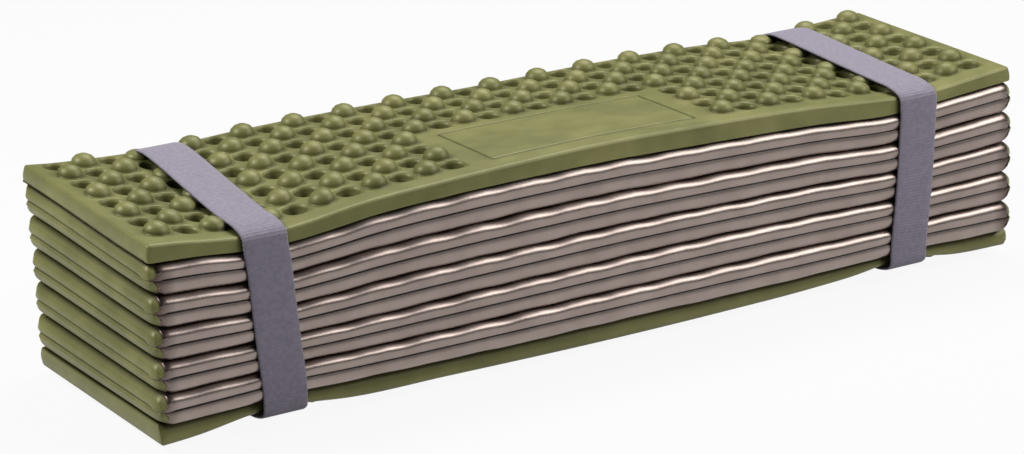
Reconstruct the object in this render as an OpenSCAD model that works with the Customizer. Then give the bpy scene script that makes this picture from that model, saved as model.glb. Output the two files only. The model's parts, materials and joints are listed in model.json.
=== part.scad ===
// Folding foam sleeping pad, packed: egg-crate panels stacked in a zigzag, each with a reflective
// film on one side, joined along pressed folds and held together by two elastic straps.
// Millimetres, +Z up. The origin is the middle of the footprint, on the ground. X runs along the
// panels, and the two free edges of the zigzag face the front, -Y.

/* [Pad] */
// Length of every panel, which is the width of the pad when it is laid out
pad_length = 605; // [480:5:700]
// Distance from one fold line to the next
panel_width = 152; // [120:1:190]
// Thickness of the foam at its flat rim
foam_thickness = 9.1; // [8.6:0.1:12]
// Thickness of the reflective film
film_thickness = 0.3; // [0.2:0.05:0.6]
// How far the film stands out past the foam at both ends
film_lip = 0.8; // [0.2:0.1:2]
// Gap between two stacked panels
panel_gap = 0.5; // [0.4:0.05:1]

/* [Egg-crate moulding] */
// Distance between the centres of a bump and the dimple beside it
cell_pitch = 17.3; // [16.8:0.1:20]
// Diameter of a bump where it leaves the rim
bump_base = 14.8; // [11:0.1:15]
// Height of a bump above the rim
bump_height = 6.6; // [5:0.1:7]
// Room around a bump that nests in a dimple of the next panel
nest_gap = 0.5; // [0.4:0.05:0.8]
// How much smaller the radius of a dimple is at its floor than at its mouth
dimple_taper = 2.4; // [1:0.1:2.6]
// Least distance from the end of a panel to its first column of cells
end_margin = 16.5; // [15:0.5:30]
// Least distance from a fold line to its first row of cells, where the rows are centred
fold_margin = 15; // [14:0.5:35]
// How far the rows lie from the middle of a panel towards the back
row_shift = 5; // [0:0.5:6]
// How much is cut flat from the tips that the pad stands on
tip_flat = 0.5; // [0.3:0.1:1]

/* [Edges and folds] */
// Rounding of the free edges on the moulded side
edge_radius = 3; // [2:0.2:6]
// Rounding of the outer side of a fold
fold_radius = 6; // [3:0.2:6.4]
// Rounding of the inner side of a fold, beside the pressed line
crease_radius = 2; // [1.8:0.1:2.2]
// Rounding of the panel corners, seen from above
corner_radius = 6; // [3:0.5:12]
// Distance from the fold line to the nose of a panel
fold_gap = 0.2; // [0.15:0.05:0.4]
// Radius of the pressed bead along a fold line
bead_radius = 0.7; // [0.5:0.05:0.8]
// Depth of the pressed web behind the bead
web_depth = 8; // [5:0.5:12]
// Thickness of the pressed web
web_thickness = 0.2; // [0.1:0.02:0.25]

/* [Plain field] */
// Length of the smooth field in the top panel, in cells
field_columns = 10; // [4:2:16]
// Depth of the smooth field in the top panel, in cells
field_rows = 4; // [2:1:6]
// Length of the rectangle pressed into the field
outline_length = 140; // [60:1:160]
// Depth of the rectangle pressed into the field
outline_depth = 58; // [30:1:62]
// Width of the pressed line
line_width = 1.4; // [0.8:0.1:3]
// Depth of the pressed line
line_depth = 0.8; // [0.3:0.1:1.5]

/* [Straps] */
// Width of the elastic webbing
strap_width = 28; // [15:1:40]
// Thickness of the elastic webbing
strap_thickness = 1.4; // [1:0.1:1.6]
// Distance from the end of the pad to the middle of the strap
strap_inset = 77; // [45:1:120]
// How much shorter the bumps are under a strap
bump_squash = 2.4; // [2.3:0.1:3.5]
// Room between a strap and what it holds
strap_gap = 0.25; // [0.2:0.05:0.3]
// Rounding inside a strap where it turns down
strap_bend = 5; // [3:0.5:8]
// Length of the sewn overlap of a strap, at the back
lap_length = 42; // [20:1:70]

/* [Hidden] */
$fn = 40;
ball_facets = 24;
panel_count = 12;
eps = 0.01;

panel_thickness = foam_thickness + film_thickness;
level_pitch = panel_thickness + panel_gap;
rim_floor = bump_height - tip_flat;
rim_top = rim_floor + panel_count * panel_thickness + (panel_count - 1) * panel_gap;
nose_width = panel_width - 2 * fold_gap;

columns = floor((pad_length - 2 * end_margin) / cell_pitch) + 1;
rows = floor((panel_width - 2 * fold_margin) / cell_pitch) + 1;
bump_radius = (pow(bump_base / 2, 2) + pow(bump_height, 2)) / (2 * bump_height);
bump_sink = bump_radius - bump_height;
pressed_height = bump_height - bump_squash;
pressed_radius = sqrt(pow(bump_radius, 2) - pow(bump_sink + pressed_height, 2));
dimple_mouth = bump_base / 2 + nest_gap;
dimple_depth = bump_height - panel_gap + nest_gap;

field_start = floor((columns - field_columns) / 2);

loop_half = panel_width / 2 + bead_radius + strap_gap;
loop_low = rim_floor - pressed_height - strap_gap;
loop_high = rim_top + pressed_height + strap_gap;
channel_width = strap_width + 2 * strap_gap;
strap_x = pad_length / 2 - strap_inset;

// The overlaps are at the back, so the stack sits forward by half their thickness
stack_y = -strap_thickness / 2;

function numbered(word, n) = str(word, n < 10 ? "_0" : "_", n);
function side_up(n) = n % 2 == 1;
function level_z(n) = rim_floor + (panel_count - n) * level_pitch;
function fold_z(n) = level_z(n) - panel_gap / 2;
function fold_side(n) = n % 2 == 1 ? 1 : -1;
function is_outer(n) = n == 1 || n == panel_count;
function column_x(c) = (c - (columns - 1) / 2) * cell_pitch;
function row_y(r) = (r - (rows - 1) / 2) * cell_pitch + row_shift;
function in_field(n, c, r) =
    n == 1 && c >= field_start && c < field_start + field_columns && r < field_rows;
function is_bump(n, c, r) = (c + r + n) % 2 == 1;
function is_pressed(n, c) =
    is_outer(n) && abs(abs(column_x(c)) - strap_x) < channel_width / 2 + pressed_radius;
function cell_kind(n, c, r) =
    in_field(n, c, r) ? "plain" :
    !is_bump(n, c, r) ? "dimple" :
    is_pressed(n, c) ? "pressed bump" : "bump";

// What a corner at the origin loses when it is rounded by radius r
module corner_waste(r) {
    if (r > 0) difference() {
        translate(-r * [1, 1]) square(2 * r);
        translate([r, r]) circle(r);
    }
}

// Rectangle from the origin with a radius for each corner: low left, low right, high right, high left
module rounded_box(size, radii) {
    difference() {
        square(size);
        corner_waste(radii[0]);
        translate([size[0], 0]) mirror([1, 0]) corner_waste(radii[1]);
        translate([size[0], size[1]]) mirror([1, 0]) mirror([0, 1]) corner_waste(radii[2]);
        translate([0, size[1]]) mirror([0, 1]) corner_waste(radii[3]);
    }
}

// Draws a profile of Y and Z along X, centred
module along_x(length) {
    rotate([90, 0, 90]) translate([0, 0, -length / 2]) linear_extrude(length) children();
}

// Section of a panel across its folds: Y from its front nose, Z from its film side
module panel_section(n) {
    front = is_outer(n) ? [0, edge_radius] : [fold_radius, crease_radius];
    translate([-nose_width / 2, 0])
        rounded_box([nose_width, panel_thickness], [front[0], crease_radius, fold_radius, front[1]]);
}

// Section of the space inside the film: the film covers one side and, at a fold, the front nose
module core_section(n) {
    reach = panel_width + panel_thickness;
    front = is_outer(n) ? -reach : -nose_width / 2 + film_thickness;
    radius = is_outer(n) ? 0 : fold_radius - film_thickness;
    translate([front, film_thickness]) rounded_box([2 * reach, reach], [radius, 0, 0, 0]);
}

// Plan of a panel that is longer than the foam by a lip at both ends
module plan(lip) {
    size = [pad_length + 2 * lip, nose_width];
    translate(-size / 2) rounded_box(size, corner_radius * [1, 1, 1, 1]);
}

// Section of a panel along X, with its moulded side rounded at both ends
module end_section() {
    translate([-pad_length / 2, 0])
        rounded_box([pad_length, panel_thickness], [0, 0, edge_radius, edge_radius]);
}

// Foam of one panel before moulding, film side down
module foam_blank(n) {
    intersection() {
        along_x(pad_length) intersection() {
            panel_section(n);
            core_section(n);
        }
        rotate([90, 0, 0]) translate([0, 0, -panel_width / 2]) linear_extrude(panel_width) end_section();
        linear_extrude(panel_thickness) plan(0);
    }
}

// Places its children on the rim of the moulded side, at every cell of one kind
module at_cells(n, kind) {
    for (c = [0 : columns - 1], r = [0 : rows - 1])
        if (cell_kind(n, c, r) == kind)
            translate([column_x(c), row_y(r), panel_thickness]) children();
}

// Bump that is cut flat where it is taller than height
module bump(height) {
    translate([0, 0, -bump_sink]) difference() {
        sphere(bump_radius, $fn = ball_facets);
        if (height < bump_height)
            translate([-bump_radius, -bump_radius, bump_sink + height]) cube(2 * bump_radius);
    }
}

// Cup that takes a bump of the panel folded against this one
module dimple() {
    slope = dimple_taper / dimple_depth;
    translate([0, 0, -dimple_depth])
        cylinder(dimple_depth + eps, dimple_mouth - dimple_taper, dimple_mouth + slope * eps);
}

// Rectangle pressed into the smooth field of the top panel
module field_line() {
    size = [outline_length, outline_depth];
    middle = [
        column_x(field_start) + (field_columns - 1) * cell_pitch / 2,
        row_y(0) + (field_rows - 1) * cell_pitch / 2
    ];
    translate([middle[0], middle[1], panel_thickness - line_depth])
        linear_extrude(line_depth + eps) difference() {
            square(size, center = true);
            square(size - 2 * line_width * [1, 1], center = true);
        }
}

// Puts a panel that is drawn film side down in its place in the stack
module stacked(n) {
    translate([0, stack_y, level_z(n)]) {
        if (side_up(n)) {
            children();
        } else {
            translate([0, 0, panel_thickness]) mirror([0, 0, 1]) children();
        }
    }
}

module foam(n) {
    color("olivedrab") stacked(n) difference() {
        union() {
            foam_blank(n);
            at_cells(n, "bump") bump(n == panel_count ? rim_floor : bump_height);
            at_cells(n, "pressed bump") bump(pressed_height);
        }
        at_cells(n, "dimple") dimple();
        if (n == 1) field_line();
    }
}

module film(n) {
    color("silver") stacked(n) intersection() {
        along_x(pad_length + 2 * film_lip) difference() {
            panel_section(n);
            core_section(n);
        }
        linear_extrude(panel_thickness) plan(film_lip);
    }
}

// Pressed fold below panel n: a bead on the fold line and the web behind it
module fold(n) {
    web_z = -panel_gap / 2;
    color("darkolivegreen")
        translate([0, stack_y + fold_side(n) * panel_width / 2, fold_z(n)])
            along_x(pad_length - 2 * corner_radius) mirror([(fold_side(n) + 1) / 2, 0]) {
                circle(bead_radius);
                translate([0, web_z]) square([web_depth, web_thickness]);
            }
}

// Elastic loop around the stack, with its ends sewn together at the back
module strap(x) {
    inside = [2 * loop_half, loop_high - loop_low];
    outside = inside + 2 * strap_thickness * [1, 1];
    color("lightsteelblue") translate([x, stack_y, 0]) along_x(strap_width) {
        translate([-loop_half, loop_low]) difference() {
            translate(-strap_thickness * [1, 1])
                rounded_box(outside, (strap_bend + strap_thickness) * [1, 1, 1, 1]);
            rounded_box(inside, strap_bend * [1, 1, 1, 1]);
        }
        translate([loop_half + strap_thickness, (loop_low + loop_high - lap_length) / 2])
            square([strap_thickness, lap_length]);
    }
}

for (n = [1 : panel_count]) foam(n);
for (n = [1 : panel_count]) film(n);
for (n = [1 : panel_count - 1]) fold(n);
strap(-strap_x);  // left_strap
strap(strap_x);  // right_strap
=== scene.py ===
"""Looks of a folding foam sleeping pad, packed, built around its frame. All lengths are metres.

Every panel is a moulded foam sheet with a reflective film on one side. The A side has the tall bumps
and the deep dimples, and the B side carries the film. A panel is drawn with its heights measured from
its B side towards its A side, and is then laid in the stack and settled the way the straps press it.
"""
import json
import math
from dataclasses import dataclass

import bpy
import numpy as np
from mathutils import Matrix, Vector


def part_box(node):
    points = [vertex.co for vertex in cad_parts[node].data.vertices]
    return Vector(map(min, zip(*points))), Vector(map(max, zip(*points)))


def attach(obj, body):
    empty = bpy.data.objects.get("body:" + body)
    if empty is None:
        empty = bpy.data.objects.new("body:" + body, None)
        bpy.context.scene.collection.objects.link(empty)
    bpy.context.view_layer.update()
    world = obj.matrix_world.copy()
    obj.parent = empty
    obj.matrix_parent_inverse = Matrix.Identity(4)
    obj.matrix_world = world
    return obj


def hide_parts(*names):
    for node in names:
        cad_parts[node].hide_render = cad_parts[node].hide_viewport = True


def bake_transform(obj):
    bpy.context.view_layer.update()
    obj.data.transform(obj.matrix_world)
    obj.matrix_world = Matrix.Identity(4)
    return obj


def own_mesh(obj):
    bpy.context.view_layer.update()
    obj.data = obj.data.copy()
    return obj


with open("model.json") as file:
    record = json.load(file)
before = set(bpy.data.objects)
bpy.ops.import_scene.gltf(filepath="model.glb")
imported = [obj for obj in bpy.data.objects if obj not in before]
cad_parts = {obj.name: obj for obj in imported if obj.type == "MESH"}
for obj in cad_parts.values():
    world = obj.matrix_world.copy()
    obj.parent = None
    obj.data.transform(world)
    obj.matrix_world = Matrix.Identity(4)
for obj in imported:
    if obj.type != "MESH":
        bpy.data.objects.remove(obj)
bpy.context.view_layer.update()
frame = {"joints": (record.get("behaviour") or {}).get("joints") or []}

MM = 0.001
PANELS = 12
COLUMNS = 34
ROWS = 8
CELL = 17.3 * MM
ROW_SHIFT = 6.0 * MM

# Fold lines of the frame, by the number of the panel above each
fold_line = {}
for joint in frame["joints"]:
    if joint["type"] == "hinge":
        upper = int(joint["child"].split("_")[1])
        fold_line[upper] = np.array(joint["pos_m"])

# Places in the frame. A level is the height that one panel takes up in the stack.
HALF_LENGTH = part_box("foam_01")[1][0]
FRONT = fold_line[2][1]
BACK = fold_line[1][1]
MIDDLE = (FRONT + BACK) / 2
HIGH_FOLD = fold_line[1][2]
LOW_FOLD = fold_line[PANELS - 1][2]
LEVEL = (HIGH_FOLD - LOW_FOLD) / (PANELS - 2)
RIM_TOP = HIGH_FOLD + LEVEL
RIM_LOW = LOW_FOLD - LEVEL

# A sheet of foam keeps a clearance to both sides of its level. The ends of the outer and of the folded
# panels stand out a little past the ends of the frame.
CLEARANCE = 0.1 * MM
FLOOR = 0.0
SHEET = LEVEL - 2 * CLEARANCE
FIRST_X = -COLUMNS / 2 * CELL
FIRST_Y = MIDDLE - ROWS / 2 * CELL + ROW_SHIFT
OUTER_PAST = 0.3 * MM
FOLDED_PAST = 1.4 * MM

# Moulding. The two outer panels, whose A sides show, have wider bumps and tighter dimples than the
# nested ones, and the top one has the most steps to a cell. A dome ends at a turn given in degrees.
# Bumps under a strap are pressed lower.
TOP_STEPS = 14
CELL_STEPS = 8
FINE_RINGS = 6
FINE_TURN = 84
ROUGH_TURN = 90
DIMPLE_TURN = 88
BUMP_BASE = 7.6 * MM
NESTED_BASE = 7.0 * MM
BUMP_HEIGHT = 6.4 * MM
BUMP_POWER = 0.9
BUMP_FOOT = 0.25 * MM
DIMPLE_MOUTH = 7.2 * MM
NESTED_MOUTH = 7.4 * MM
DIMPLE_DEPTH = 8.3 * MM
DIMPLE_POWER = 0.4
DIMPLE_LIP = 0.6 * MM
BACK_BUMP = 4.9 * MM
BACK_DIMPLE = 5.1 * MM
PRESSED = 4.2 * MM
PRESS_EASE = 5 * MM
CELL_WOBBLE = 0.15 * MM
HEIGHT_WOBBLE = 0.03

# Plain field of the top panel: columns and rows without cells, and the line pressed into it
FIELD_COLUMNS = (12, 21)
FIELD_ROWS = (0, 3)
FIELD_LINE = ((-71.5 * MM, -61 * MM), (71 * MM, -1.5 * MM))
LINE_HALF = 0.7 * MM
LINE_DEPTH = 1.7 * MM
LINE_STEEP = 1.15
LINE_STEPS = 5

# Edges of the panels. The steps count the grid lines of a rounding and of the plain margin beside it.
ROUND_STEPS = 6
PLAIN_STEPS = 3
MARGIN_LINES = ROUND_STEPS + 1 + PLAIN_STEPS
BACK_EDGE = 0.8 * MM
BACK_ROUND = 5.0 * MM
OUTER_ROUND = 1.6 * MM
OUTER_CORNER = 2.5 * MM
FOLDED_CORNER = 6.5 * MM
TIP_ROUND = 9.0 * MM
TIP_REACH = 10 * MM
SEAL = 5 * MM
WALL_RINGS = 5
WALL_CROWDING = 1.8
WALL_BULGE = 0.5 * MM
WALL_ENDS = 0.98

# Front folds, and the noses of the folded panels. The swells are millimetres high. Each drift has a
# height in millimetres, a pace along the nose in radians to the metre and a start for each panel.
FOLD_SAG = 0.8 * MM
FOLD_REACH = 7 * MM
NOSE_BULGE = 1.8 * MM
NOSE_TURN = 0.78 * math.pi
NOSE_REACH = 5 * MM
SWELL_UP = 0.15
SWELL_DOWN = 0.6
SWELL_LEAST = 0.35
SWELL_MIDDLE = -60 * MM
SWELL_WIDTH = 130 * MM
SWELL_FORWARD = 0.4
SWELL_LIMIT = 0.3 * MM
DRIFTS = ((0.25, 41, 2.1), (0.15, 97, 1.3))

# Bead along each fold
BEAD_RADIUS = 0.45 * MM
BEAD_SHORTER = 9 * MM
BEAD_STEPS = 181
BEAD_SIDES = 10
BEAD_INWARD_FRONT = 1.2 * MM
BEAD_INWARD_BACK = 1.0 * MM

# Film. It lies just off the foam. Its start and its inset count grid lines from the ends of a panel:
# it has the start where it wraps round the ends near the front, and the inset elsewhere.
FILM_OFF = 0.8 * CLEARANCE
FILM_THICKNESS = 0.1 * MM
FILM_LIP = 0.4 * MM
LIP_FLUTTER = 0.12 * MM
FILM_START = 4
FILM_INSET = ROUND_STEPS + 1
FILM_WRAP = 9 * MM

# Straps. Ribs and picots follow the pitch. The two ends of a strap lap behind the stack.
STRAP_WIDTH = 27.8 * MM
STRAP_THICKNESS = 1.3 * MM
STRAP_SMOOTHING = 4
RIB_PITCH = 1.9 * MM
RIB_STEPS = 4
RIB_HEIGHT = 0.12 * MM
PICOT = 0.22 * MM
BEHIND = MIDDLE + 60 * MM
LAP_HALF = 21 * MM
LAP_LIFT = 1.12 * STRAP_THICKNESS
LAP_NARROWER = 0.4 * MM

# Stitching of a lap: rows across it, at steps from its two ends, and one along each edge
STITCH_ROWS = (8, 14, -15, -9)
STITCHES_ACROSS = 11
STITCH_EDGE = 0.42
EDGE_ROW_START = 20
EDGE_ROW_STEP = 6
STITCH_HALF = 1.0 * MM
STITCH_WIDE = 0.3 * MM
STITCH_HIGH = 0.25 * MM
STITCH_LIFT = 0.56 * STRAP_THICKNESS

rng = np.random.default_rng(7)


def is_up(n):
    """True if the A side of panel n faces up."""
    return n % 2 == 1


def is_outer(n):
    """True for the top and the bottom panel."""
    return n in (1, PANELS)


def panel_low(n):
    """Height of the lower plane of panel n before settling."""
    return HIGH_FOLD - (n - 1) * LEVEL


def half_length(n):
    """Half the length of panel n."""
    return HALF_LENGTH + (OUTER_PAST if is_outer(n) else FOLDED_PAST)


def hill(x, centre, width):
    """Bell curve of height 1."""
    return np.exp(-0.5 * ((x - centre) / width) ** 2)


def smooth(t):
    """Eases from 0 to 1 while t goes from 0 to 1."""
    t = np.clip(t, 0, 1)
    return t * t * (3 - 2 * t)


# Settling: the straps pinch the stack, and it swells between them

# Each list gives, in millimetres, how far a height of the stack moves up at a place along its front.
TOP_SETTLE = (
    (-306, 0.2), (-285, -1.6), (-262, -4.6), (-230, -7.0), (-205, -5.2), (-170, -0.8),
    (-115, 2.2), (-60, 4.2), (0, 5.2), (50, 4.3), (100, 2.8), (150, 0.6),
    (190, -2.6), (225, -4.8), (250, -3.6), (280, -0.6), (306, 1.6),
)
HIGH_SETTLE = (
    (-306, -0.4), (-275, -2.0), (-245, -4.6), (-215, -4.8), (-190, -2.6), (-165, 0.2),
    (-112, 2.7), (-60, 3.6), (0, 3.7), (50, 2.3), (100, 0.8), (150, -1.0),
    (205, -4.5), (240, -2.4), (270, -0.2), (306, 2.3),
)
MIDDLE_SETTLE = (
    (-306, 1.0), (-240, 0.1), (-200, -0.2), (-112, 0.9), (-60, 1.4), (20, 2.2),
    (100, 1.7), (150, 1.2), (208, -0.2), (240, 0.4), (306, 1.8),
)
LOW_SETTLE = (
    (-306, 1.6), (-250, 3.4), (-212, 4.8), (-190, 3.9), (-150, 2.9), (-100, 2.4), (0, 1.8),
    (100, 1.7), (160, 1.5), (215, 2.8), (240, 3.2), (270, 2.0), (306, 1.2),
)
RIM_SETTLE = (
    (-306, -1.4), (-275, 0.6), (-240, 5.4), (-224, 6.4), (-208, 5.0), (-180, 1.8),
    (-112, 0.4), (0, -1.0), (85, -0.5), (150, 0.9), (190, 3.3), (207, 5.6),
    (221, 6.4), (236, 5.4), (262, 1.6), (306, 0.0),
)
# The same for the top of the stack along its back
BACK_SETTLE = (
    (-306, 4.6), (-288, 2.6), (-255, 0.4), (-226, -0.8), (-165, 0.9), (-88, 1.3),
    (0, 0.2), (88, 0.5), (165, -1.1), (222, -4.0), (260, -1.6), (306, 0.8),
)
MIDDLE_FOLD = 7
BACK_SHARE = 0.4
LOWEST_PART = 1 / 8


def along(x, knots):
    """Smooth curve through a list of places and values in millimetres."""
    place, value = np.array(knots, dtype=float).T * MM
    slope = np.gradient(value, place)
    k = np.clip(np.searchsorted(place, x) - 1, 0, len(place) - 2)
    span = place[k + 1] - place[k]
    t = np.clip((x - place[k]) / span, 0, 1)
    rise = value[k] + (value[k + 1] - value[k]) * t * t * (3 - 2 * t)
    return rise + span * t * (1 - t) * (slope[k] * (1 - t) - slope[k + 1] * t)


def settle_at(x, y, z):
    """How far a place in the stack moves up."""
    heights = (RIM_LOW, LOW_FOLD, fold_line[MIDDLE_FOLD][2], HIGH_FOLD, RIM_TOP)
    lists = (RIM_SETTLE, LOW_SETTLE, MIDDLE_SETTLE, HIGH_SETTLE, TOP_SETTLE)
    rises = [along(x, knots) for knots in lists]
    front = rises[0]
    for k in range(len(lists) - 1):
        share = np.clip((z - heights[k]) / (heights[k + 1] - heights[k]), 0, 1)
        front = front + (rises[k + 1] - rises[k]) * share
    height = np.clip((z - RIM_LOW) / (RIM_TOP - RIM_LOW), 0, 1)
    back_top = along(x, BACK_SETTLE)
    back = back_top * (BACK_SHARE + (1 - BACK_SHARE) * height)
    back = back + (rises[0] - BACK_SHARE * back_top) * np.clip(1 - height / LOWEST_PART, 0, 1)
    depth = smooth((y - FRONT) / (BACK - FRONT))
    return front + (back - front) * depth


def settle(points):
    """Moves points of the stack to where the straps press them."""
    x, y, z = points[..., 0], points[..., 1], points[..., 2]
    moved = points.copy()
    moved[..., 2] = np.maximum(z + settle_at(x, y, z), FLOOR)
    return moved


# How far each fold stands in or out by chance, and how far each panel sits to one side, by chance and
# by the lean of the stack. The values to shape them are in millimetres.
FOLD_SPREAD = 0.4
END_SPREAD = 0.3
LEAN_START = -2.6
LEAN_STEP = 0.52
FOLD_SHIFT = {n: rng.uniform(-FOLD_SPREAD, FOLD_SPREAD) * MM for n in range(1, PANELS)}
END_SHIFT = {
    n: (rng.uniform(-END_SPREAD, END_SPREAD) + LEAN_START + LEAN_STEP * (n - 1)) * MM
    for n in range(1, PANELS + 1)
}


def nudge(n, points):
    """Shifts a panel and its two folds by their own small amounts."""
    front_fold = n if n % 2 == 0 else n - 1
    back_fold = n if n % 2 == 1 else n - 1
    front = FOLD_SHIFT.get(front_fold, 0)
    back = FOLD_SHIFT.get(back_fold, 0)
    share = np.clip((points[..., 1] - FRONT) / (BACK - FRONT), 0, 1)
    moved = points.copy()
    moved[..., 0] += END_SHIFT[n]
    moved[..., 1] += front + (back - front) * share
    return moved


# Meshes

def new_object(name, points, faces, material):
    mesh = bpy.data.meshes.new(name)
    mesh.from_pydata(np.asarray(points).reshape(-1, 3).tolist(), [], faces)
    mesh.shade_smooth()
    mesh.materials.append(material)
    piece = bpy.data.objects.new(name, mesh)
    bpy.context.scene.collection.objects.link(piece)
    return piece


def grid_faces(rows, columns, start=0, flip=False):
    """Quads of a grid of points that is numbered row by row."""
    i, j = np.meshgrid(np.arange(rows - 1), np.arange(columns - 1), indexing="ij")
    a = (start + i * columns + j).ravel()
    quads = np.stack([a, a + columns, a + columns + 1, a + 1], -1)
    return quads[:, ::-1] if flip else quads


def band_faces(count, sides, closed):
    """Quads of a band made of rings of points, closed to a loop or open at both ends."""
    quads = []
    for i in range(count if closed else count - 1):
        k = (i + 1) % count
        for j in range(sides):
            m = (j + 1) % sides
            quads.append([i * sides + j, i * sides + m, k * sides + m, k * sides + j])
    return quads


def vertex_normals(points, quads):
    """Unit normals of the points of a mesh of quads."""
    p = points[quads]
    face = np.cross(p[:, 2] - p[:, 0], p[:, 3] - p[:, 1])
    normals = np.zeros_like(points)
    for corner in range(4):
        np.add.at(normals, quads[:, corner], face)
    return normals / np.maximum(np.linalg.norm(normals, axis=1, keepdims=True), 1e-12)


# Moulding of one cell: rings of points from the middle of the cell outwards

def bump_rings(rings, height, base=BUMP_BASE):
    """Radius and rise of the rings of a bump. A fine one has one ring more, for a crisp foot."""
    fine = rings >= FINE_RINGS
    foot = [base, base + BUMP_FOOT] if fine else [base + BUMP_FOOT]
    dome = rings - len(foot)
    turn = np.radians(FINE_TURN if fine else ROUGH_TURN) * np.arange(dome) / (dome - 1)
    radius = np.append(base * np.sin(turn), foot)
    rise = np.append(height * np.cos(turn) ** BUMP_POWER, np.zeros(len(foot)))
    return radius, rise


def dimple_rings(rings, depth, mouth=DIMPLE_MOUTH):
    """Radius and rise of the rings of a dimple, with a flat lip round its mouth."""
    turn = np.radians(DIMPLE_TURN) * np.arange(rings - 1) / (rings - 2)
    radius = np.append(mouth * np.sin(turn), mouth + DIMPLE_LIP)
    rise = np.append(-depth * np.cos(turn) ** DIMPLE_POWER, 0)
    return radius, rise


def round_ring(a, b):
    """Direction on a circle of a point on a square ring, evenly spread."""
    wide = np.abs(a) >= np.abs(b)
    safe_a = np.where(a == 0, 1, a)
    safe_b = np.where(b == 0, 1, b)
    quarter = math.pi / 4
    angle = np.where(wide, quarter * b / safe_a, math.pi / 2 - quarter * a / safe_b)
    sign = np.where(wide, np.sign(a), np.sign(b))
    return sign * np.cos(angle), sign * np.sin(angle)


# X of the middle of each strap, in millimetres: at the back and the front of the top, halfway down the
# front, and below
STRAP_LINE = {-1: (-224, -234, -228.5, -223.5), 1: (231, 224.8, 224, 220.8)}


def strap_centre(n, x, y):
    """X of the middle of the strap on the side of x, where it crosses an outer panel."""
    back, front, _, below = STRAP_LINE[-1 if x < 0 else 1]
    if n == PANELS:
        return below * MM
    share = np.clip((y - FRONT) / (BACK - FRONT), 0, 1)
    return (front + (back - front) * share) * MM


def cell_height(n, x, y):
    """Height of a bump of the A side, lower where a strap lies over it."""
    if not is_outer(n):
        return BUMP_HEIGHT
    off = abs(x - strap_centre(n, x, y))
    press = smooth((STRAP_WIDTH / 2 + PRESS_EASE - off) / PRESS_EASE)
    return BUMP_HEIGHT - (BUMP_HEIGHT - PRESSED) * press


def cell_rings(n, a_side, up, rings, x, y):
    """Rings of the bump or dimple of one cell, on a panel whose A side has a bump there if up."""
    if not a_side:
        return dimple_rings(rings, BACK_DIMPLE) if up else bump_rings(rings, BACK_BUMP)
    if up:
        return bump_rings(rings, cell_height(n, x, y), BUMP_BASE if is_outer(n) else NESTED_BASE)
    return dimple_rings(rings, DIMPLE_DEPTH, DIMPLE_MOUTH if is_outer(n) else NESTED_MOUTH)


def is_bump(n, c, r):
    """True if the A side of panel n has a bump in a cell, and not a dimple."""
    return (c + r + n) % 2 == 1


def in_field(n, c, r):
    """True if a cell is left plain."""
    inside_columns = FIELD_COLUMNS[0] <= c <= FIELD_COLUMNS[1]
    return n == 1 and inside_columns and FIELD_ROWS[0] <= r <= FIELD_ROWS[1]


def cell_lines(steps, groove=None):
    """Grid lines of one cell, from 0 to below CELL, closer together at a pressed line."""
    if groove is None:
        return CELL * np.arange(steps) / steps
    line = groove + LINE_HALF * np.linspace(-1, 1, LINE_STEPS)
    spare = steps - LINE_STEPS
    before = max(1, round(spare * groove / CELL))
    after = spare - before
    return np.concatenate([
        np.linspace(0, line[0], before, endpoint=False),
        line,
        np.linspace(line[-1], CELL, after + 1, endpoint=False)[1:],
    ])


def axis_lines(start, count, steps, grooves):
    """Grid lines of all the cells along one axis."""
    lines = []
    for c in range(count):
        low = start + c * CELL
        inside = [g - low for g in grooves if 0 < g - low < CELL]
        lines.append(low + cell_lines(steps, inside[0] if inside else None))
    return np.append(np.concatenate(lines), start + count * CELL)


def rounding_drop(distance, radius):
    """How far a rounded edge lies below its face at a distance from the edge."""
    inside = np.clip(radius - distance, 0, radius)
    return radius - np.sqrt(radius ** 2 - inside ** 2)


def margin_steps(radius, margin):
    """Distances from the edge of the grid lines in a margin, which follow its rounding."""
    turn = np.linspace(0, math.pi / 2, ROUND_STEPS + 1)
    plain = np.linspace(radius, margin, PLAIN_STEPS + 1, endpoint=False)[1:]
    return np.append(radius * (1 - np.cos(turn)), plain)


@dataclass
class Side:
    """Roundings and insets of one side of a panel.

    The rounding of the ends is stretched through the thickness. A sealed side is closed on its neighbour
    along the front, so that its rounding and inset fade out near the front corners.
    """
    ends: float
    front: float
    inset: float = 0.0
    front_inset: float = 0.0
    corner: float = FOLDED_CORNER
    stretch: float = 1.0
    sealed: bool = False


TOP_A = Side(ends=2.4 * MM, front=2.4 * MM, inset=0.5 * MM, front_inset=0.8 * MM, corner=OUTER_CORNER)
TOP_B = Side(ends=0.4 * MM, front=0.5 * MM, corner=OUTER_CORNER)
BOTTOM_A = Side(ends=2.6 * MM, front=2.6 * MM, inset=0.6 * MM, front_inset=3.2 * MM, corner=OUTER_CORNER)
BOTTOM_B = Side(ends=1.2 * MM, front=6.6 * MM, inset=0.3 * MM, front_inset=3.0 * MM, corner=OUTER_CORNER)
UP_A = Side(ends=1.4 * MM, front=0.3 * MM, front_inset=0.3 * MM, sealed=True)
UP_B = Side(ends=9.0 * MM, front=1.9 * MM, stretch=0.72)
DOWN_A = Side(ends=0.4 * MM, front=0.8 * MM, inset=0.9 * MM, front_inset=0.3 * MM, sealed=True)
DOWN_B = Side(ends=9.0 * MM, front=4.8 * MM, stretch=0.72)


def sides(n):
    """The A side and the B side of panel n."""
    if n == 1:
        return TOP_A, TOP_B
    if n == PANELS:
        return BOTTOM_A, BOTTOM_B
    return (UP_A, UP_B) if is_up(n) else (DOWN_A, DOWN_B)


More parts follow.
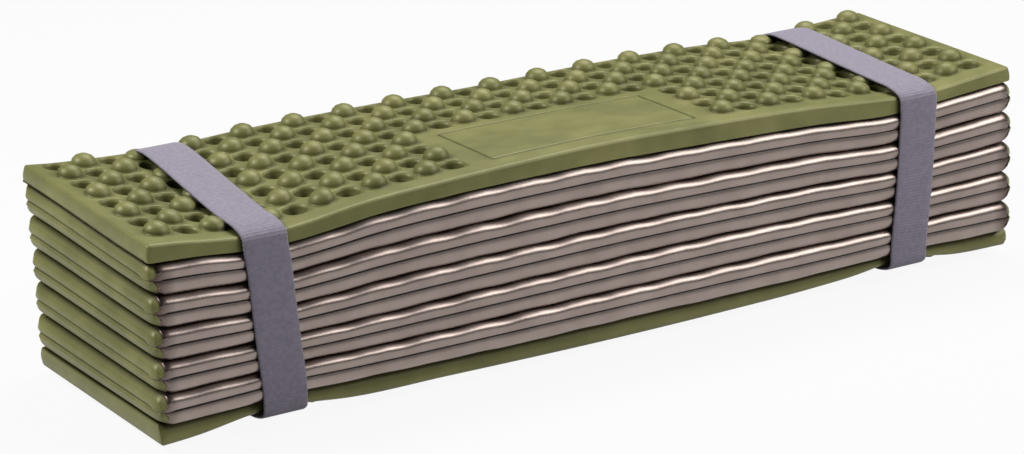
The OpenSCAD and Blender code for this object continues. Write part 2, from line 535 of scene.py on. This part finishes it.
def round_corners(x, y, half, front, radius):
    """Rounds the corners of a grid's outline."""
    from_end = half - np.abs(x)
    from_front = y - front
    from_back = BACK - y
    to_end = np.clip(1 - from_end / radius, 0, 1)
    to_side = np.clip(1 - np.minimum(from_front, from_back) / radius, 0, 1)
    ring = np.maximum(to_end, to_side)
    toward_x, toward_y = round_ring(to_end, to_side)
    corner = (to_end > 0) & (to_side > 0)
    x_round = half - radius * (1 - ring * toward_x)
    y_round = radius * (1 - ring * toward_y)
    y_bent = np.where(from_front < from_back, front + y_round, BACK - y_round)
    return np.where(corner, np.sign(x) * x_round, x), np.where(corner, y_bent, y)


def surface(n, side, steps, a_side):
    """Grid of one side of a panel: x, y and how far it stands out of its plane.

    The tips of the nose of a folded panel are rounder than the rest of its B side.
    """
    half = half_length(n) - side.inset
    front = FRONT + side.front_inset
    end_margin = half + FIRST_X
    end_steps = margin_steps(side.ends, end_margin)
    front_steps = margin_steps(side.front, FIRST_Y - front)
    back_steps = margin_steps(BACK_EDGE, BACK - (FIRST_Y + ROWS * CELL))
    grooves_x, grooves_y = zip(*FIELD_LINE) if n == 1 else ((), ())
    cell_x = axis_lines(FIRST_X, COLUMNS, steps, grooves_x)
    cell_y = axis_lines(FIRST_Y, ROWS, steps, grooves_y)
    lines_x = np.concatenate([-half + end_steps, cell_x, (half - end_steps)[::-1]])
    lines_y = np.concatenate([front + front_steps, cell_y, (BACK - back_steps)[::-1]])
    x, y = np.meshgrid(lines_x, lines_y, indexing="ij")

    from_end = half - np.abs(x)
    from_front = y - front
    open_end = smooth((from_front - SEAL) / SEAL) if side.sealed else 1.0
    open_front = smooth((from_end - SEAL) / SEAL) if side.sealed else 1.0
    front_round = side.front
    if not a_side and not is_outer(n):
        front_round = side.front + (TIP_ROUND - side.front) * smooth(1 - from_end / TIP_REACH)
    out = -np.maximum.reduce([
        rounding_drop(from_end, side.ends) * side.stretch * open_end,
        rounding_drop(from_front, front_round) * open_front,
        rounding_drop(BACK - y, BACK_EDGE),
    ])

    x, y = round_corners(x, y, half, front, side.corner)
    if side.sealed:
        near_end = np.clip(1 - from_end / end_margin, 0, 1)
        x += np.sign(x) * side.inset * (1 - open_end) * near_end

    mould(n, x, y, out, steps, a_side)
    if a_side:
        out -= rounding_drop(np.maximum(BACK - y, 0), OUTER_ROUND if is_outer(n) else BACK_ROUND)
    return np.stack([x, y, out], -1)


def mould(n, x, y, out, steps, a_side):
    """Presses the bumps and dimples of one side into its grid."""
    rings = steps // 2
    local = np.arange(steps + 1) - rings
    a, b = np.meshgrid(local, local, indexing="ij")
    ring = np.maximum(np.abs(a), np.abs(b))
    toward_x, toward_y = round_ring(a.astype(float), b.astype(float))
    inside = ring < rings
    pick = np.clip(ring, 0, rings - 1)
    wobble = rng.uniform(-1, 1, (COLUMNS, ROWS, 3))
    for c in range(COLUMNS):
        for r in range(ROWS):
            if in_field(n, c, r):
                continue
            centre_x = FIRST_X + (c + 0.5) * CELL
            centre_y = FIRST_Y + (r + 0.5) * CELL
            radius, rise = cell_rings(n, a_side, is_bump(n, c, r), rings, centre_x, centre_y)
            if a_side and is_outer(n):
                centre_x += CELL_WOBBLE * wobble[c, r, 0]
                centre_y += CELL_WOBBLE * wobble[c, r, 1]
                rise = rise * (1 + HEIGHT_WOBBLE * wobble[c, r, 2])
            i = MARGIN_LINES + c * steps
            j = MARGIN_LINES + r * steps
            cut = (slice(i, i + steps + 1), slice(j, j + steps + 1))
            x[cut] = np.where(inside, centre_x + radius[pick] * toward_x, x[cut])
            y[cut] = np.where(inside, centre_y + radius[pick] * toward_y, y[cut])
            out[cut] = np.where(inside, rise[pick], out[cut])
    if n == 1 and a_side:
        press_line(x, y, out)


def press_line(x, y, out):
    """Presses the outline of the plain field into the top panel."""
    (x0, y0), (x1, y1) = FIELD_LINE
    apart_x = np.maximum(x0 - x, x - x1)
    apart_y = np.maximum(y0 - y, y - y1)
    outside = np.hypot(np.maximum(apart_x, 0), np.maximum(apart_y, 0))
    apart = np.abs(np.where(outside > 0, outside, np.maximum(apart_x, apart_y)))
    out -= LINE_DEPTH * smooth(LINE_STEEP * (1 - apart / LINE_HALF))


def wave(n, points):
    """Soft swells of the film nose, beside every second cell of the first row."""
    x = points[..., 0]
    beat = np.cos(math.pi * (x / CELL - 0.5) + math.pi * n)
    more = SWELL_LEAST + (1 - SWELL_LEAST) * hill(x, SWELL_MIDDLE, SWELL_WIDTH)
    strength = (SWELL_UP if is_up(n) else SWELL_DOWN) * more
    drift = sum(height * np.sin(x * pace + start * n) for height, pace, start in DRIFTS)
    return (strength * beat + drift) * hill(points[..., 1], FRONT, FOLD_REACH) * MM


def sag(n, points):
    """Lowers the closed sides of two panels along their fold, which lies below their middle."""
    down = FOLD_SAG * hill(points[..., 1], FRONT, FOLD_REACH)
    return -down if is_up(n) else down


def nose(points):
    """How far the front of a folded panel bulges, from the height above its B side."""
    share = np.clip(points[..., 2] / SHEET, 0, 1)
    return NOSE_BULGE * np.sin(NOSE_TURN * share) * hill(points[..., 1], FRONT, NOSE_REACH)


def boundary(grid):
    """The points round the edge of a grid, anticlockwise seen from the A side."""
    return np.concatenate([grid[:, 0], grid[-1, 1:], grid[-2::-1, -1], grid[0, -2:0:-1]])


def walls_between(edge_a, edge_b):
    """Rings of points round a panel, closer together near its A side, that bulge at its ends."""
    from_middle = edge_a[:, 0] / np.abs(edge_a[:, 0]).max()
    at_end = np.sign(from_middle) * (np.abs(from_middle) > WALL_ENDS)
    walls = []
    for k in range(1, WALL_RINGS + 1):
        share = (k / (WALL_RINGS + 1)) ** WALL_CROWDING
        ring = edge_a + (edge_b - edge_a) * share
        ring[:, 0] += WALL_BULGE * 4 * share * (1 - share) * at_end
        walls.append(ring)
    return walls


def panel(n, steps):
    """Points and quads of the foam of a panel, and the grid of its film, in panel coordinates."""
    side_a, side_b = sides(n)
    a = surface(n, side_a, steps, True)
    b = surface(n, side_b, steps, False)
    a[..., 2] = SHEET + a[..., 2]
    b[..., 2] = -b[..., 2]
    if not is_outer(n):
        swell = wave(n, b)
        b[..., 1] -= SWELL_FORWARD * swell
        b[..., 2] -= np.minimum(swell, SWELL_LIMIT) - SWELL_LIMIT * hill(b[..., 1], FRONT, FOLD_REACH)
        a[..., 2] += sag(n, a)
    walls = walls_between(boundary(a), boundary(b))
    points = np.concatenate([a.reshape(-1, 3), b.reshape(-1, 3)] + walls)
    if not is_outer(n):
        points[:, 1] -= nose(points)

    columns, rows = a.shape[:2]
    count = columns * rows
    index = np.arange(count).reshape(columns, rows)
    loop = boundary(index[..., None])[:, 0]
    rings = [loop]
    for k in range(WALL_RINGS):
        rings.append(2 * count + k * len(loop) + np.arange(len(loop)))
    rings.append(count + loop)
    quads = [grid_faces(columns, rows), grid_faces(columns, rows, count, True)]
    for upper, lower in zip(rings, rings[1:]):
        quads.append(np.stack([upper, lower, np.roll(lower, -1), np.roll(upper, -1)], -1))
    quads = np.concatenate(quads)
    return points, quads, film_grid(n, points, quads, index, rings)


def film_grid(n, points, quads, index, rings):
    """Points of a film just off the foam: along the B side, and on over the nose of a folded panel."""
    columns, rows = index.shape
    skin = points + vertex_normals(points, quads) * FILM_OFF
    lines = [index[:, r] + index.size for r in range(rows - 1, -1, -1)]
    if not is_outer(n):
        lines += [ring[:columns] for ring in rings[-2:0:-1]]
        lines += [index[:, r] for r in range(ROUND_STEPS + 1)]
    film = np.stack([skin[line] for line in lines], 1)
    if n == 1:
        return add_lips(film[:, :-FILM_INSET])
    if n == PANELS:
        return film[FILM_INSET:-FILM_INSET, :-FILM_INSET]
    return film[FILM_START:-FILM_START]


def add_lips(film):
    """Lets the film of the top panel stand out past both ends of the foam."""
    flutter = rng.uniform(-LIP_FLUTTER, LIP_FLUTTER, film.shape[1])
    left, right = film[0].copy(), film[-1].copy()
    left[:, 0] -= FILM_LIP
    right[:, 0] += FILM_LIP
    left[:, 2] += flutter
    right[:, 2] += flutter[::-1]
    return np.concatenate([left[None], film, right[None]])


def lay(n, points):
    """Lays a panel in the stack."""
    placed = nudge(n, points)
    if is_up(n):
        placed[..., 2] = panel_low(n) + CLEARANCE + placed[..., 2]
    else:
        placed[..., 2] = panel_low(n) + LEVEL - CLEARANCE - placed[..., 2]
    return settle(placed)


# Materials. Each pair of colours is the two ends of a mottle.
FOAM_COLOURS = ((0.166, 0.168, 0.050), (0.210, 0.210, 0.070))
FOAM_WEAR = ((0.78, 0.80, 0.78), (1.12, 1.10, 1.14))
FOAM_WEAR_SPAN = (0.36, 0.66)
FOAM_TINT = (1.0, 0.93, 0.62, 1)
# Painted shade: the foam's colour is darkened in its dimples, at the feet of its bumps and in the valleys
# between panels, by how closely other surfaces stand round it
PAINTED_HOLLOW_SHADE = (0.24, 0.24, 0.22)
HOLLOW_SHADE_REACH = 10 * MM
HOLLOW_SHADE_SPAN = (0.4, 0.92)
FILM_COLOURS = ((0.29, 0.235, 0.21), (0.338, 0.278, 0.25))
# Painted shade: a near-black film for the slits along the front folds and the beads in them, which lie in
# shade
SLIT_SHADE_COLOURS = ((0.06, 0.05, 0.047), (0.08, 0.067, 0.062))
FILM_END_SHADE = (0.27, 0.22, 0.21)
END_SHADE_START = 13 * MM
END_SHADE_STOP = 1 * MM
WEBBING_COLOURS = ((0.205, 0.182, 0.234), (0.262, 0.233, 0.296))
THREAD_COLOUR = (0.33, 0.30, 0.38, 1)
PLAIN_WHITE = (1, 1, 1)


def new_material(name, **values):
    material = bpy.data.materials.new(name)
    material.use_nodes = True
    shader = material.node_tree.nodes["Principled BSDF"]
    for socket, value in values.items():
        shader.inputs[socket.replace("_", " ")].default_value = value
    return material, material.node_tree, shader


def add_node(tree, kind, **values):
    node = tree.nodes.new(kind)
    for key, value in values.items():
        if key in node.inputs:
            node.inputs[key].default_value = value
        else:
            setattr(node, key, value)
    return node


def noise(tree, scale, detail, stretch=(1, 1, 1)):
    place = add_node(tree, "ShaderNodeTexCoord")
    mapping = add_node(tree, "ShaderNodeMapping")
    mapping.inputs["Scale"].default_value = stretch
    texture = add_node(tree, "ShaderNodeTexNoise", Scale=scale, Detail=detail)
    tree.links.new(place.outputs["Object"], mapping.inputs["Vector"])
    tree.links.new(mapping.outputs["Vector"], texture.inputs["Vector"])
    return texture.outputs["Fac"]


def ramp(tree, source, low, high, start=0.3, end=0.7):
    node = add_node(tree, "ShaderNodeValToRGB")
    node.color_ramp.elements[0].position = start
    node.color_ramp.elements[0].color = (*low, 1)
    node.color_ramp.elements[1].position = end
    node.color_ramp.elements[1].color = (*high, 1)
    tree.links.new(source, node.inputs["Fac"])
    return node.outputs["Color"]


def relief(tree, shader, source, strength, distance):
    node = add_node(tree, "ShaderNodeBump", Strength=strength, Distance=distance)
    tree.links.new(source, node.inputs["Height"])
    tree.links.new(node.outputs["Normal"], shader.inputs["Normal"])


def multiply(tree, first, second):
    node = add_node(tree, "ShaderNodeMix", data_type="RGBA", blend_type="MULTIPLY")
    node.inputs["Factor"].default_value = 1.0
    tree.links.new(first, node.inputs["A"])
    tree.links.new(second, node.inputs["B"])
    return node.outputs["Result"]


def painted_hollow_shade(tree, reach, dark):
    """Painted shade in hollows: the colour darkens where other surfaces stand close, from dark in the
    closed ones to white in the open.
    """
    node = add_node(tree, "ShaderNodeAmbientOcclusion", samples=8, Distance=reach)
    return ramp(tree, node.outputs["AO"], dark, PLAIN_WHITE, *HOLLOW_SHADE_SPAN)


def toward_ends(tree, dark):
    """Shade that darkens to both ends of the pad."""
    place = add_node(tree, "ShaderNodeTexCoord")
    split = add_node(tree, "ShaderNodeSeparateXYZ")
    apart = add_node(tree, "ShaderNodeMath", operation="ABSOLUTE")
    span = add_node(tree, "ShaderNodeMapRange")
    span.inputs["From Min"].default_value = HALF_LENGTH - END_SHADE_START
    span.inputs["From Max"].default_value = HALF_LENGTH - END_SHADE_STOP
    tree.links.new(place.outputs["Object"], split.inputs[0])
    tree.links.new(split.outputs["X"], apart.inputs[0])
    tree.links.new(apart.outputs[0], span.inputs["Value"])
    return ramp(tree, span.outputs["Result"], PLAIN_WHITE, dark, 0.0, 1.0)


def foam_material():
    material, tree, shader = new_material(
        "foam", Roughness=0.48, Specular_IOR_Level=0.75, Specular_Tint=FOAM_TINT)
    fine = ramp(tree, noise(tree, scale=55, detail=4), *FOAM_COLOURS)
    worn = ramp(tree, noise(tree, scale=22, detail=5, stretch=(1, 1.6, 1.6)), *FOAM_WEAR, *FOAM_WEAR_SPAN)
    # The mottled colour is darkened by the painted shade of the hollows
    colour = multiply(tree, multiply(tree, fine, worn), painted_hollow_shade(tree, HOLLOW_SHADE_REACH, PAINTED_HOLLOW_SHADE))
    tree.links.new(colour, shader.inputs["Base Color"])
    relief(tree, shader, noise(tree, scale=260, detail=4), strength=0.18, distance=0.5 * MM)
    return material


def film_material(name, low, high):
    material, tree, shader = new_material(name, Roughness=0.36, Metallic=1.0)
    plain = ramp(tree, noise(tree, scale=70, detail=4), low, high)
    colour = multiply(tree, plain, toward_ends(tree, FILM_END_SHADE))
    tree.links.new(colour, shader.inputs["Base Color"])
    creases = noise(tree, scale=160, detail=3, stretch=(0.25, 1, 1))
    relief(tree, shader, creases, strength=0.1, distance=0.4 * MM)
    return material


def webbing_material():
    material, tree, shader = new_material("webbing", Roughness=0.8, Sheen_Weight=0.25)
    colour = ramp(tree, noise(tree, scale=420, detail=3), *WEBBING_COLOURS)
    tree.links.new(colour, shader.inputs["Base Color"])
    relief(tree, shader, noise(tree, scale=1900, detail=2), strength=0.25, distance=0.2 * MM)
    return material


FOAM = foam_material()
FILM = film_material("film", *FILM_COLOURS)
# Dark film of painted shade, for the slits and the front beads
SLIT_SHADE_FILM = film_material("creased_film", *SLIT_SHADE_COLOURS)
WEBBING = webbing_material()
THREAD = new_material("thread", Roughness=0.7, Base_Color=THREAD_COLOUR)[0]


# Panels, film and folds

def film_faces(n, sheet):
    """Quads of a film, which reaches round the ends of the foam only near the front."""
    quads = grid_faces(sheet.shape[0], sheet.shape[1], flip=not is_up(n))
    if is_outer(n):
        return quads
    column = np.arange(sheet.shape[0])
    inner = np.minimum(column, column[::-1]) >= FILM_INSET - FILM_START
    near = sheet[..., 1] < FRONT + FILM_WRAP
    kept = (inner[:, None] | near).ravel()
    return quads[kept[quads].all(axis=1)]


def build_panel(n):
    body = f"panel_{n:02d}"
    points, quads, sheet = panel(n, TOP_STEPS if n == 1 else CELL_STEPS)
    if not is_up(n):
        quads = quads[:, ::-1]
    foam = new_object(f"pad_foam_{n:02d}", lay(n, points), quads.tolist(), FOAM)
    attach(foam, body)
    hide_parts(f"foam_{n:02d}")

    film_quads = film_faces(n, sheet)
    used, faces = np.unique(film_quads, return_inverse=True)
    film_points = lay(n, sheet).reshape(-1, 3)[used]
    film = new_object(f"pad_film_{n:02d}", film_points, faces.reshape(-1, 4).tolist(), FILM)
    thick = film.modifiers.new("thickness", "SOLIDIFY")
    thick.thickness = FILM_THICKNESS
    thick.offset = 1
    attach(film, body)
    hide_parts(f"film_{n:02d}")
    if not is_outer(n):
        # The film in the slit along the front fold gets the dark film of painted shade
        in_slit = film_quads.min(axis=1) % sheet.shape[1] >= sheet.shape[1] - ROUND_STEPS - 1
        film.data.materials.append(SLIT_SHADE_FILM)
        film.data.polygons.foreach_set("material_index", in_slit.astype(np.int32))
        # The foam and the film each get a mesh of their own
        for piece in (foam, film):
            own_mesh(piece)


def build_fold(n):
    """Pressed bead along the fold below panel n."""
    _, y, z = fold_line[n]
    at_front = n % 2 == 0
    inward = BEAD_INWARD_FRONT if at_front else -BEAD_INWARD_BACK
    drop = FOLD_SAG if at_front else 0.0
    length = np.linspace(-1, 1, BEAD_STEPS) * (HALF_LENGTH - BEAD_SHORTER)
    turn = np.linspace(0, 2 * math.pi, BEAD_SIDES, endpoint=False)
    x, angle = np.meshgrid(length, turn, indexing="ij")
    bead = np.stack([
        x,
        y + inward + BEAD_RADIUS * np.cos(angle) + FOLD_SHIFT[n],
        z - drop + BEAD_RADIUS * np.sin(angle),
    ], -1)
    quads = band_faces(BEAD_STEPS, BEAD_SIDES, closed=False)
    # A front bead gets the dark film of painted shade, a back bead the foam
    fold = new_object(f"pad_fold_{n:02d}", settle(bead), quads, SLIT_SHADE_FILM if at_front else FOAM)
    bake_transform(fold)
    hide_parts(f"fold_{n:02d}")


# Straps

def cut_corners(path, times):
    """Smooths a closed path by cutting its corners."""
    for _ in range(times):
        after = np.roll(path, -1, axis=0)
        cut = [0.75 * path + 0.25 * after, 0.25 * path + 0.75 * after]
        path = np.stack(cut, 1).reshape(-1, path.shape[1])
    return path


def resample(path, step):
    """Points along a closed path, a step apart."""
    closed = np.concatenate([path, path[:1]])
    length = np.append(0, np.cumsum(np.linalg.norm(np.diff(closed, axis=0), axis=1)))
    count = int(length[-1] / step)
    at = np.linspace(0, length[-1], count, endpoint=False)
    return np.stack([np.interp(at, length, closed[:, k]) for k in range(closed.shape[1])], 1)


def strap_path(sign):
    """Middle of a strap round the stack: x, y, z, from the middle of the top towards the front."""
    back_x, front_x, near_x, low_x = (v * MM for v in STRAP_LINE[sign])
    top_front = RIM_TOP + settle_at(front_x, FRONT, RIM_TOP)
    top_back = RIM_TOP + settle_at(back_x, BACK, RIM_TOP)
    low = RIM_LOW + settle_at(low_x, FRONT, RIM_LOW)
    # The middle of the webbing: over the bumps, in front of the noses, behind the stack, past the rims
    over = PRESSED + STRAP_THICKNESS * 0.6
    near = FRONT - 2.3 * MM
    far = BACK + 1.5 * MM
    out = 1.3 * MM
    points = [
        ((front_x + back_x) / 2, MIDDLE, (top_front + top_back) / 2 + over),
        (front_x, FRONT + 24 * MM, top_front + over),
        (front_x, FRONT + 11 * MM, top_front + over),
        (front_x, near + 0.4 * MM, top_front + out),
        (front_x, near, top_front - 7 * MM),
        (front_x * 0.6 + near_x * 0.4, near, top_front - 18 * MM),
        (near_x, near, (top_front + low) / 2),
        (low_x, near, low + 14 * MM),
        (low_x, near, low + 6 * MM),
        (low_x, near, low - out),
        (low_x, FRONT + 9 * MM, low - over),
        (low_x, FRONT + 24 * MM, low - over),
        (low_x, MIDDLE, low - over),
        (low_x, BACK - 24 * MM, low - over),
        (low_x, BACK - 9 * MM, low - over),
        (low_x, far, low - out),
        (low_x, far, low + 8 * MM),
        ((back_x + low_x) / 2, far, (top_back + low) / 2),
        (back_x, far, top_back - 16 * MM),
        (back_x, far, top_back - 8 * MM),
        (back_x, far, top_back - 1 * MM),
        (back_x, BACK - 11 * MM, top_back + over),
        (back_x, BACK - 26 * MM, top_back + over),
    ]
    return resample(cut_corners(np.array(points), STRAP_SMOOTHING), RIB_PITCH / RIB_STEPS)


# Outline of the webbing across its length, in shares of its width and thickness
WEBBING_OUTLINE = (
    (-0.5, -0.3), (-0.5, 0.3), (-0.46, 0.5), (-0.3, 0.5),
    (-0.1, 0.5), (0.1, 0.5), (0.3, 0.5), (0.46, 0.5),
    (0.5, 0.3), (0.5, -0.3), (0.46, -0.5), (0.3, -0.5),
    (0.1, -0.5), (-0.1, -0.5), (-0.3, -0.5), (-0.46, -0.5),
)


def ribbon(path, width, closed=True):
    """Webbing with cross ribs along a path: its points and quads, and the directions at each place."""
    count = len(path)
    step = np.roll(path, -1, axis=0) - np.roll(path, 1, axis=0)
    if not closed:
        step[0] = path[1] - path[0]
        step[-1] = path[-1] - path[-2]
    step /= np.linalg.norm(step, axis=1, keepdims=True)
    across = np.array([1.0, 0, 0]) - step * step[:, :1]
    across /= np.linalg.norm(across, axis=1, keepdims=True)
    out = np.cross(step, across)
    beat = np.cos(2 * math.pi * np.arange(count) / RIB_STEPS)[:, None]
    lines = []
    for u, v in WEBBING_OUTLINE:
        edge = PICOT * beat * np.sign(u) if abs(u) == 0.5 else 0
        lift = RIB_HEIGHT * beat * np.sign(v) if abs(v) == 0.5 else 0
        lines.append(path + across * (u * width + edge) + out * (v * STRAP_THICKNESS + lift))
    corners = len(WEBBING_OUTLINE)
    quads = band_faces(count, corners, closed)
    if not closed:
        quads.append(list(range(corners))[::-1])
        quads.append([(count - 1) * corners + j for j in range(corners)])
    return np.stack(lines, 1).reshape(-1, 3), quads, out, across, step


def stitches(path, out, across, step):
    """Rows of thread across both ends of a lap and along its edges, as small spindles."""
    places = []
    for i in STITCH_ROWS:
        for u in np.linspace(-STITCH_EDGE, STITCH_EDGE, STITCHES_ACROSS):
            places.append((i, u, True))
    for i in range(EDGE_ROW_START, len(path) - EDGE_ROW_START, EDGE_ROW_STEP):
        for u in (-STITCH_EDGE, STITCH_EDGE):
            places.append((i, u, False))
    points, faces = [], []
    for i, u, crosswise in places:
        along_thread = across[i] if crosswise else step[i]
        beside = step[i] if crosswise else across[i]
        middle = path[i] + across[i] * u * STRAP_WIDTH + out[i] * STITCH_LIFT
        reach = along_thread * STITCH_HALF
        wide = beside * STITCH_WIDE
        high = out[i] * STITCH_HIGH
        # A tip, four points round the middle, and the other tip
        start = len(points)
        points += [middle + shift for shift in (-reach, wide, high, -wide, -high, reach)]
        for k in range(4):
            after = (k + 1) % 4
            faces.append([start, start + 1 + after, start + 1 + k])
            faces.append([start + 5, start + 1 + k, start + 1 + after])
    return points, faces


def build_strap(sign):
    side = "left" if sign < 0 else "right"
    path = strap_path(sign)
    points, quads, out, _, _ = ribbon(path, STRAP_WIDTH)
    middle_z = (RIM_TOP + RIM_LOW) / 2
    at_back = (path[:, 1] > BEHIND) & (np.abs(path[:, 2] - middle_z) < LAP_HALF)
    lap_path = path[at_back] + out[at_back] * LAP_LIFT
    lap_points, lap_quads, *lap_ways = ribbon(lap_path, STRAP_WIDTH - LAP_NARROWER, closed=False)
    start = len(points)
    quads += [[v + start for v in q] for q in lap_quads]
    points = np.concatenate([points, lap_points])
    strap = new_object(f"{side}_strap_webbing", points, quads, WEBBING)
    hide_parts(f"{side}_strap")
    seam_points, seam_faces = stitches(lap_path, *lap_ways)
    seam = new_object(f"{side}_strap_stitching", seam_points, seam_faces, THREAD)
    for piece in (strap, seam):
        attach(piece, f"{side}_strap_loop")
        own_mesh(piece)


# Camera, light and floor. The angles are degrees, and the lens and sensor are millimetres.
CAMERA_TURN = -33.21
CAMERA_RISE = 19.25
CAMERA_AIM = (-21.5 * MM, MIDDLE, 59.3 * MM)
CAMERA_DISTANCE = 2.208
CAMERA_SENSOR = 36
CAMERA_LENS = 129.6
CAMERA_FAR = 50
FLOOR_HALF = 6
FLOOR_BELOW = 0.2 * MM
FLOOR_COLOUR = (0.55, 0.55, 0.55, 1)
WHITE_SHARE = 0.92
WORLD_STRENGTH = 0.09
LAMP_AIM = (0, 0, 60 * MM)
# Name, place, width and height, and watts of each lamp
LAMPS = (
    ("overhead", (0.5, 0.4, 1.35), (1.0, 0.75), 15),
    ("left", (-1.05, 0.36, 1.0), (0.3, 0.3), 13),
    ("front", (0.95, -0.78, 1.02), (1.2, 0.5), 12.5),
)


def build_camera():
    turn, rise = math.radians(CAMERA_TURN), math.radians(CAMERA_RISE)
    back = Vector((math.sin(turn) * math.cos(rise), -math.cos(turn) * math.cos(rise), math.sin(rise)))
    right = Vector((math.cos(turn), math.sin(turn), 0))
    up = back.cross(right)
    data = bpy.data.cameras.new("camera")
    data.sensor_width = CAMERA_SENSOR
    data.lens = CAMERA_LENS
    data.clip_end = CAMERA_FAR
    camera = bpy.data.objects.new("camera", data)
    camera.matrix_world = Matrix((right, up, back)).transposed().to_4x4()
    camera.location = Vector(CAMERA_AIM) + back * CAMERA_DISTANCE
    bpy.context.scene.collection.objects.link(camera)
    bpy.context.scene.camera = camera


def add_lamp(name, place, size, power):
    data = bpy.data.lights.new(name, "AREA")
    data.shape = "RECTANGLE"
    data.size, data.size_y = size
    data.energy = power
    lamp = bpy.data.objects.new(name, data)
    lamp.location = place
    lamp.rotation_mode = "QUATERNION"
    lamp.rotation_quaternion = (Vector(LAMP_AIM) - Vector(place)).to_track_quat("-Z", "Y")
    bpy.context.scene.collection.objects.link(lamp)


def show_white(tree, lit, output):
    """Shows the camera, and mirror and glass rays, mostly plain white and some of the shadow."""
    path = add_node(tree, "ShaderNodeLightPath")
    seen = path.outputs["Is Camera Ray"]
    for ray in ("Is Glossy Ray", "Is Transmission Ray"):
        either = add_node(tree, "ShaderNodeMath", operation="MAXIMUM")
        tree.links.new(seen, either.inputs[0])
        tree.links.new(path.outputs[ray], either.inputs[1])
        seen = either.outputs[0]
    share = add_node(tree, "ShaderNodeMath", operation="MULTIPLY")
    tree.links.new(seen, share.inputs[0])
    share.inputs[1].default_value = WHITE_SHARE
    white = add_node(tree, "ShaderNodeEmission")
    white.inputs["Color"].default_value = (*PLAIN_WHITE, 1)
    white.inputs["Strength"].default_value = 1.0
    mix = add_node(tree, "ShaderNodeMixShader")
    tree.links.new(share.outputs[0], mix.inputs[0])
    tree.links.new(lit.outputs[0], mix.inputs[1])
    tree.links.new(white.outputs[0], mix.inputs[2])
    tree.links.new(mix.outputs[0], output.inputs["Surface"])


def build_stage():
    material, tree, shader = new_material("floor", Roughness=0.9, Base_Color=FLOOR_COLOUR)
    show_white(tree, shader, tree.nodes["Material Output"])
    corners = [(FLOOR_HALF * x, FLOOR_HALF * y, 0) for x, y in ((-1, -1), (1, -1), (1, 1), (-1, 1))]
    floor = new_object("floor", corners, [(0, 1, 2, 3)], material)
    floor.location.z = -FLOOR_BELOW
    world = bpy.data.worlds.new("studio")
    bpy.context.scene.world = world
    world.use_nodes = True
    background = world.node_tree.nodes["Background"]
    background.inputs["Color"].default_value = (*PLAIN_WHITE, 1)
    background.inputs["Strength"].default_value = WORLD_STRENGTH
    for lamp in LAMPS:
        add_lamp(*lamp)


for number in range(1, PANELS + 1):
    build_panel(number)
for number in range(1, PANELS):
    build_fold(number)
build_strap(-1)
build_strap(1)
build_camera()
build_stage()

bpy.context.scene.view_settings.view_transform = "Standard"
